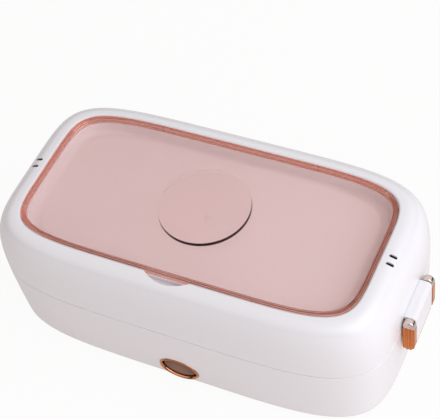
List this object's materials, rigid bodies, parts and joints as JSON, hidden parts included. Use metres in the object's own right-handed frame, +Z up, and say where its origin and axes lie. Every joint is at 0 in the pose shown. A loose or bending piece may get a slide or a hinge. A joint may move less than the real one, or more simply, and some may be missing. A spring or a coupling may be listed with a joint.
{
  "type": "electric lunch box",
  "caption": "Heated lunch box with a stainless food tray, a loose divider, a domed lift-off lid with a clear covered storage well and two end latches.",
  "frame": {"origin": "on the ground at the middle of the footprint", "axes": "+X along the box towards one latch, -Y to the front with the power button, +Z up"},
  "size_m": [0.2508, 0.1256, 0.0872],
  "materials": {
    "white_plastic": "gloss",
    "cream_plastic": "satin",
    "linen_plastic": "satin",
    "clear_rose": "clear gloss",
    "rose_gold": "polished",
    "dark_lens": "gloss",
    "stainless": "brushed",
    "coated_plate": "coated",
    "heater_case": "satin",
    "spring_steel": "satin",
    "brass": "satin",
    "grey_plastic": "matte",
    "black_plastic": "matte",
    "bakelite": "matte",
    "rubber_foot": "matte",
    "silicone": "satin",
    "valve_rubber": "matte",
    "board": "matte",
    "led_resin": "gloss",
    "wire_jacket": "satin"
  },
  "bodies": {
    "base": {"base_shell": "white_plastic", "bottom_cover": "grey_plastic", "feet": "rubber_foot", "bottom_screws": "spring_steel", "base_liner": "cream_plastic", "well_sleeve": "coated_plate", "heating_plate": "coated_plate", "ptc_heater": "heater_case", "heater_clamp": "spring_steel", "clamp_nuts": "brass", "thermostat": "bakelite", "thermal_fuse": "heater_case", "inlet_socket": "black_plastic", "inlet_pins": "brass", "wires": "wire_jacket", "button_ring": "rose_gold", "switch_board": "board", "tact_switch": "black_plastic", "led": "led_resin", "latch_pin_right": "spring_steel", "latch_pin_left": "spring_steel"},
    "tray": {"steel_tray": "stainless"},
    "divider": {"divider": "stainless"},
    "lid": {"lid_shell": "white_plastic", "storage_well": "white_plastic", "steam_valves": "valve_rubber", "lid_liner": "linen_plastic", "lid_gasket": "silicone"},
    "cover": {"cover": "clear_rose"},
    "button": {"power_button": "dark_lens"},
    "latch_right": {"latch_flap_right": "white_plastic", "latch_clips_right": "rose_gold"},
    "latch_left": {"latch_flap_left": "white_plastic", "latch_clips_left": "rose_gold"}
  },
  "joints": [
    {"name": "tray_lift", "type": "slide", "parent": "base", "child": "tray", "axis": [0, 0, 1], "range_m": [0, 0.06]},
    {"name": "divider_lift", "type": "slide", "parent": "tray", "child": "divider", "axis": [0, 0, 1], "range_m": [0, 0.04]},
    {"name": "lid_lift", "type": "slide", "parent": "divider", "child": "lid", "axis": [0, 0, 1], "range_m": [0, 0.06]},
    {"name": "cover_lift", "type": "slide", "parent": "lid", "child": "cover", "axis": [0, 0, 1], "range_m": [0, 0.03]},
    {"name": "button_press", "type": "slide", "parent": "base", "child": "button", "axis": [0, 1, 0], "range_m": [0, 0.0006], "stiffness_N_per_m": 600, "springref_m": -0.001},
    {"name": "latch_right_swing", "type": "hinge", "parent": "base", "child": "latch_right", "pos_m": [0.1216, 0, 0.0344], "axis": [0, 1, 0], "range_deg": [0, 105]},
    {"name": "latch_left_swing", "type": "hinge", "parent": "base", "child": "latch_left", "pos_m": [-0.1216, 0, 0.0344], "axis": [0, -1, 0], "range_deg": [0, 105]}
  ]
}
